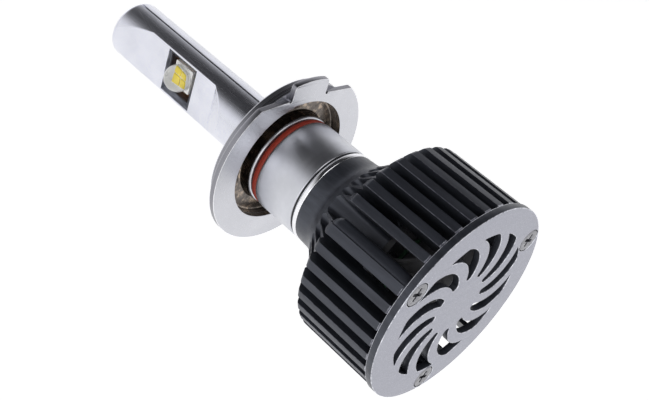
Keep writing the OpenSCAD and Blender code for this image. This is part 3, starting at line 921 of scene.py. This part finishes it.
def sink_profile():
    """(x, r) stations of the neck, cone and shoulder, close together where the gaps run out."""
    knots = rounded([
        (SINK_FRONT, NECK_R - 0.06), (SINK_FRONT - 0.08, NECK_R, 0.04), (-12.3, 7.1, 0.7), (-13.1, 7.4, 0.38),
        (-14.35, 8.35, 0.5), (-16.3, 10.3), (-18.05, 12.2, 0.08), (-18.1, 13.15, 0.1), (-18.9, 14.3, 0.25),
        (-19.2, FIN_R, 0.15), (fan_base_high[0], FIN_R)], closed=False)
    stations = [knots[0]]
    for (x0, r0), (x1, r1) in zip(knots, knots[1:]):
        runs_out = r1 > GAP_FLOOR_R - GAP_W / 2 - 0.1 and r0 < GAP_FLOOR_R + 0.1
        spacing = CLOSE_SPACING if runs_out else PLAIN_SPACING
        steps = max(1, math.ceil(math.hypot(x1 - x0, r1 - r0) / spacing))
        stations += [(x0 + (x1 - x0) * k / steps, r0 + (r1 - r0) * k / steps) for k in range(1, steps + 1)]
    return stations


def heat_sink():
    step_x = barrel_low[0] - 0.1
    inner = [(DRIVER_BORE_REAR, 0.05), (DRIVER_BORE_REAR, DRIVER_BORE_R), (step_x, DRIVER_BORE_R),
             (step_x, THREAD_R + 0.02), (SINK_FRONT, THREAD_R + 0.02)]
    outer = sink_profile()
    sections, corners = [], []
    for x, r in inner + outer:
        section, corners = sink_section(x, r)
        sections.append(section)
    verts, faces = stack(sections)
    count = len(sections[0])
    bright = []
    for s, (x, r) in enumerate(inner + outer):
        if s >= len(inner) and r > 8.95 and s < len(sections) - 1:
            bright += [s * count + k for k in corners]
    # The gaps' cut corners are coloured bright as painted highlight lines.
    body = add("sink_body", verts, faces, "bulb", MATERIALS["black_anodised"], ["heat_sink"],
               [(CUT_EDGE_HIGHLIGHT, bright)])
    fins = rear_fins()
    screw_posts()
    outlet_boss()
    clear_outlet([body, fins])


def rear_fins():
    """The free rear part of every fin, round the fan chamber."""
    gaps = sink_gaps()
    half = GAP_W / 2
    chamfer = FIN_CHAMFER
    verts, faces, edge_highlight, bright = [], [], [], []
    for index, (_, here) in enumerate(gaps):
        next_first = gaps[(index + 1) % len(gaps)][0] + (360 if index == len(gaps) - 1 else 0)
        sections = []
        for x, r_out, inset in ((fan_base_high[0], FIN_R, 0), (SINK_REAR + 0.3, FIN_R, 0),
                                (SINK_REAR + 0.05, FIN_R - 0.25, 0.0), (SINK_REAR, FIN_R - 0.3, 0.05)):
            top = math.sqrt(r_out ** 2 - half ** 2) - chamfer
            turn_away = math.degrees(math.asin(half / r_out) + chamfer / r_out)
            low = math.sqrt((CHAMBER_R + inset) ** 2 - half ** 2)
            side_in = half + inset

            def wall(angle, s, t):
                (cy, cz), (ty, tz) = polar(1, angle), polar(1, angle + 90)
                return cy * s + ty * t, cz * s + tz * t

            low_turn = math.degrees(math.asin(side_in / (CHAMBER_R + inset)))
            start, end = here + turn_away + inset * 3, next_first - turn_away - inset * 3
            ring = [wall(here, low, side_in), wall(here, top, side_in)]
            ring += [polar(r_out, start + (end - start) * k / 4) for k in range(5)]
            ring += [wall(next_first, top, -side_in), wall(next_first, low, -side_in)]
            foot, foot_span = next_first - low_turn, here - next_first + 2 * low_turn
            ring += [polar(CHAMBER_R + inset, foot + foot_span * k / 4) for k in (1, 2, 3)]
            sections.append([(x, y, z) for y, z in ring])
        fin_verts, fin_faces = stack(sections)
        count = len(sections[0])
        base = len(verts)
        # The fins' long cut corners get painted highlight lines, and their rear chamfers painted glints.
        edge_highlight += [len(faces) + k for k in (1, 6)]
        bright += [len(faces) + count + k for k in range(1, 7)]
        bright += [len(faces) + 2 * count + k for k in range(count)]
        verts += fin_verts
        faces += [tuple(base + i for i in face) for face in fin_faces]
    return add("sink_fins", verts, faces, "bulb", MATERIALS["black_anodised"], (),
               [(CUT_EDGE_HIGHLIGHT, edge_highlight), (GLINT, bright)])


def screw_posts():
    for number, angle in enumerate(SCREW_ANGLES, 1):
        y, z = polar(SCREW_CIRCLE_R, angle)
        ball = arc((POST_FRONT - POST_R, 0.005), POST_R, 0, 90, 12)
        post = lathe(ball + rounded([(SINK_REAR, POST_R, 0.06), (SINK_REAR, SCREW_HOLE_R, 0.04),
                                     (SINK_REAR + SCREW_HOLE_DEPTH, SCREW_HOLE_R),
                                     (SINK_REAR + SCREW_HOLE_DEPTH, 0.005)], closed=False), 48)
        add(f"screw_post_{number}", *moved(post, Matrix.Translation((0, y, z))), "bulb",
            MATERIALS["black_anodised"])


def outlet_matrix():
    """Turns +X into the cable outlet's direction and moves it to the outlet's station."""
    return (Matrix.Translation((OUTLET_X, 0, 0)) @ Matrix.Rotation(math.radians(OUTLET_ANGLE), 4, "X")
            @ Matrix.Rotation(math.radians(90), 4, "Z"))


def outlet_boss():
    boss = lathe(rounded([(BOSS_ROOT, OUTLET_R), (OUTLET_BOSS_TOP, OUTLET_R, 0.08),
                          (OUTLET_BOSS_TOP, OUTLET_BOSS_R, 0.2), (BOSS_ROOT, OUTLET_BOSS_R)]), 96)
    add("outlet_boss", *moved(boss, outlet_matrix()), "bulb", MATERIALS["black_anodised"])
    grommet = lathe(rounded([
        (GROMMET_ROOT, GROMMET_BORE_R), (GROMMET_TOP, GROMMET_BORE_R, 0.2), (GROMMET_TOP, 2.2, 0.1),
        (GROMMET_TOP - 0.25, GROMMET_FLANGE_R, 0.2), (OUTLET_BOSS_TOP, GROMMET_FLANGE_R, 0.08),
        (OUTLET_BOSS_TOP, OUTLET_R - 0.02), (GROMMET_ROOT, OUTLET_R - 0.02)]), 96)
    add("outlet_grommet", *moved(grommet, outlet_matrix()), "bulb", MATERIALS["dark_rubber"],
        ["cable_grommet"])


def clear_outlet(pieces):
    """Cuts the fins back round the cable outlet, so that the boss and its grommet stand free."""
    verts, faces = moved(lathe([(OUTLET_BOSS_TOP, 0.002), (OUTLET_BOSS_TOP, OUTLET_BOSS_R + 0.1),
                                (FIN_R + 1, OUTLET_BOSS_R + 0.1), (FIN_R + 1, 0.002)], 96), outlet_matrix())
    mesh = bpy.data.meshes.new("outlet_cutter")
    mesh.from_pydata([Vector(v) * MM for v in verts], [], faces)
    smooth(mesh)
    cutter = bpy.data.objects.new("outlet_cutter", mesh)
    to_scene(cutter)
    for piece in pieces:
        cut = piece.modifiers.new("outlet", "BOOLEAN")
        cut.operation = "DIFFERENCE"
        cut.object = cutter
        whole = piece.data
        piece.data = bpy.data.meshes.new_from_object(
            piece.evaluated_get(bpy.context.evaluated_depsgraph_get()))
        piece.modifiers.remove(cut)
        bpy.data.meshes.remove(whole)
    bpy.data.objects.remove(cutter)
    bpy.data.meshes.remove(mesh)


# ---------------------------------------------------------------- grille and its screws

def circle_meeting(a, ra, b, rb, near):
    """The point where two circles meet that is nearer to the given one."""
    offset = Vector(b) - Vector(a)
    d = offset.length
    along = (ra ** 2 - rb ** 2 + d ** 2) / (2 * d)
    across = math.sqrt(max(ra ** 2 - along ** 2, 0))
    unit = offset.normalized()
    foot = Vector(a) + unit * along
    normal = Vector((-unit.y, unit.x))
    return min((foot + normal * across, foot - normal * across), key=lambda p: (p - Vector(near)).length)


def arc_between(centre, r, start, end, trim, steps):
    """Points on a circle from start to end the short way, with trim millimetres left off each end."""
    a0 = math.atan2(start[1] - centre[1], start[0] - centre[0])
    a1 = math.atan2(end[1] - centre[1], end[0] - centre[0])
    turn = (a1 - a0 + math.pi) % (2 * math.pi) - math.pi
    cut = math.copysign(trim / r, turn)
    return arc(centre, r, math.degrees(a0 + cut), math.degrees(a0 + turn - cut), steps)


def swirl_slot():
    """A crescent between two arcs, with rounded ends."""
    outer, outer_r = SLOT_OUTER
    inner, inner_r = SLOT_INNER
    low_outer = circle_meeting((0, 0), SLOT_R[0], outer, outer_r, (4.0, 2.4))
    low_inner = circle_meeting((0, 0), SLOT_R[0], inner, inner_r, (4.2, 1.4))
    high_inner = circle_meeting((0, 0), SLOT_R[1], inner, inner_r, (10.9, 0))
    high_outer = circle_meeting((0, 0), SLOT_R[1], outer, outer_r, (10.7, 2.2))
    corners = (low_inner, high_inner, high_outer, low_outer)
    runs = [arc_between(inner, inner_r, low_inner, high_inner, SLOT_CORNER, 22),
            arc_between((0, 0), SLOT_R[1], high_inner, high_outer, SLOT_CORNER, 6),
            arc_between(outer, outer_r, high_outer, low_outer, SLOT_CORNER, 22),
            arc_between((0, 0), SLOT_R[0], low_outer, low_inner, SLOT_CORNER, 4)]
    points = []
    for index, run in enumerate(runs):
        points += run
        corner = corners[(index + 1) % 4]
        start, end = Vector(run[-1]), Vector(runs[(index + 1) % 4][0])
        for t in (0.25, 0.5, 0.75):
            points.append(tuple(start.lerp(corner, t).lerp(corner.lerp(end, t), t)))
    return points


def turned_loop(loop, degrees):
    c, s = polar(1, degrees)
    return [(y * c - z * s, y * s + z * c) for y, z in loop]


def grille():
    rear, front = grille_low[0], grille_high[0]
    slot_loop = swirl_slot()[::-1]
    loops = [arc((0, 0), GRILLE_R, 0, 360, 240)[:-1]]
    loops += [turned_loop(slot_loop, 360 * k / SLOT_COUNT) for k in range(SLOT_COUNT)]
    for angle in SCREW_ANGLES:
        loops.append(arc(polar(SCREW_CIRCLE_R, angle), HEAD_HOLE_R, 360, 0, 48)[:-1])
    # The bevel round the face and holes is coloured bright as a painted highlight line; the plate's side
    # takes the dark black anodised finish.
    add("grille_cover", *plate(loops, rear, front, 0.09), "bulb", MATERIALS["grey_anodised"],
        ["grille_plate"],
        finishes=[(MATERIALS["black_anodised"], lambda centre, normal: abs(normal.x) < 0.35),
                  (GRILLE_EDGE_HIGHLIGHT, lambda centre, normal: 0.35 <= abs(normal.x) < 0.98)])


def plus_loop(half_width, reach, turn):
    """A cross with rounded inner and outer corners."""
    points = []
    for k in range(4):
        arm = [(reach, -half_width, 0.12), (reach, half_width, 0.12), (half_width, half_width, 0.08)]
        points += [(*turned_loop([p[:2]], 90 * k)[0], p[2]) for p in arm]
    return turned_loop(rounded(points, steps=3), turn)


def grille_screw(number, angle):
    y, z = polar(SCREW_CIRCLE_R, angle)
    front = screws_low[0]
    head_circle = arc((0, 0), HEAD_R, 0, 360, 64)[:-1]
    recess = plus_loop(CROSS_HALF, CROSS_REACH, CROSS_TURN)
    crown = plate([head_circle, recess[::-1]], front, front + CROSS_DEPTH, 0.06)
    cone = lathe(rounded([(front + 0.4, 0.01), (front + 0.4, HEAD_R - 0.06, 0.03), (front + 0.85, SHANK_R),
                          (front + SHANK_END, SHANK_R, 0.1), (front + SHANK_END, 0.01)]), 64)
    place = Matrix.Translation((0, y, z))
    add(f"grille_screw_{number}", *moved(merged(crown, cone), place), "bulb", MATERIALS["steel"],
        ["grille_screws"] if number == 1 else ())
    ring = lathe(rounded([(front + 0.25, HEAD_HOLE_R), (front + 1.2, HEAD_HOLE_R), (front + 1.2, 0.9),
                          (front + 0.9, 0.9), (front + 0.45, HEAD_R + 0.02)]), 64)
    add(f"countersink_{number}", *moved(ring, place), "bulb", MATERIALS["black_anodised"])


# ---------------------------------------------------------------- build

flange_collar()
barrel()
o_ring()
neck_seal()
trim_ring()
stem_half("stem_half_left", 1, "stem_left")
stem_half("stem_half_right", -1, "stem_right")
lamp("lamp_left", 1, "left")
lamp("lamp_right", -1, "right")
heat_sink()
grille()
for screw_number, screw_angle in enumerate(SCREW_ANGLES, 1):
    grille_screw(screw_number, screw_angle)

slot_of = {part["node"]: part["material_slot"] for part in frame["record"]["subparts"]}
for node_name, node_object in frame["nodes"].items():
    node_object.data.materials.clear()
    node_object.data.materials.append(MATERIALS[slot_of[node_name]])


# ---------------------------------------------------------------- floor, lights and camera

CAMERA_PLACE = (-76.71, 100.51, 82.42)
CAMERA_FORWARD = (0.462, -0.682, -0.567)
CAMERA_RIGHT = (-0.671, -0.687, 0.279)
CAMERA_LENS = 61.47


def floor():
    mesh = bpy.data.meshes.new("floor")
    size, depth = 3.0, -0.12             # metres, as are the lights' places and sizes
    mesh.from_pydata([(-size, -size, depth), (size, -size, depth), (size, size, depth), (-size, size, depth)],
                     [], [(0, 1, 2, 3)])
    ground = bpy.data.objects.new("floor", mesh)
    to_scene(ground)
    look = Look("floor", (0.9, 0.9, 0.9), 0.0, 0.9)
    look.set("Emission Color", (1.0, 1.0, 1.0, 1.0))
    look.set("Emission Strength", 0.6)
    mesh.materials.append(look.material)


def softbox(name, place, size, power):
    """A white area light aimed at the origin."""
    light = bpy.data.lights.new(name, "AREA")
    light.shape = "RECTANGLE"
    light.size, light.size_y = size
    light.energy = power
    lamp_object = bpy.data.objects.new(name, light)
    lamp_object.location = place
    lamp_object.rotation_euler = (-Vector(place)).to_track_quat("-Z", "Y").to_euler()
    to_scene(lamp_object)


def studio():
    """A bright horizon under a dark ceiling, as in a light tent."""
    world = bpy.data.worlds.new("studio")
    world.use_nodes = True
    tree = world.node_tree
    background = tree.nodes["Background"]
    coords = tree.nodes.new("ShaderNodeTexCoord")
    parts = tree.nodes.new("ShaderNodeSeparateXYZ")
    ramp = tree.nodes.new("ShaderNodeValToRGB")
    tree.links.new(coords.outputs["Generated"], parts.inputs[0])
    tree.links.new(parts.outputs["Z"], ramp.inputs["Fac"])
    tree.links.new(ramp.outputs["Color"], background.inputs["Color"])
    ends = ramp.color_ramp.elements
    ends[0].position, ends[0].color = 0.0, (1.0, 1.0, 1.0, 1.0)
    ends[1].position, ends[1].color = 1.0, (0.035, 0.035, 0.04, 1.0)
    for position, level in ((0.30, 1.0), (0.50, 0.70), (0.66, 0.22), (0.76, 0.03)):
        stop = ends.new(position)
        stop.color = (level, level, level * 1.03, 1.0)
    background.inputs["Strength"].default_value = 1.0
    bpy.context.scene.world = world
    softbox("key", (-0.55, 0.1, 0.7), (0.7, 0.7), 2.2)
    softbox("fill", (-0.7, 0.8, 0.15), (0.8, 0.6), 1.5)


def camera():
    """The camera that was fitted to the object's circles in the photo."""
    forward = Vector(CAMERA_FORWARD).normalized()
    right = Vector(CAMERA_RIGHT)
    right = (right - forward * right.dot(forward)).normalized()
    up = right.cross(forward)
    data = bpy.data.cameras.new("camera")
    data.lens = CAMERA_LENS
    data.sensor_width = 36.0
    data.clip_start = 0.005
    eye = bpy.data.objects.new("camera", data)
    turn = Matrix((right, up, -forward)).transposed().to_4x4()
    eye.matrix_world = Matrix.Translation(Vector(CAMERA_PLACE) * MM) @ turn
    to_scene(eye)
    bpy.context.scene.camera = eye


floor()
studio()
camera()
bpy.context.scene.view_settings.view_transform = "Standard"


def corners(box):
    return [[round(float(v), 6) for v in corner] for corner in box]
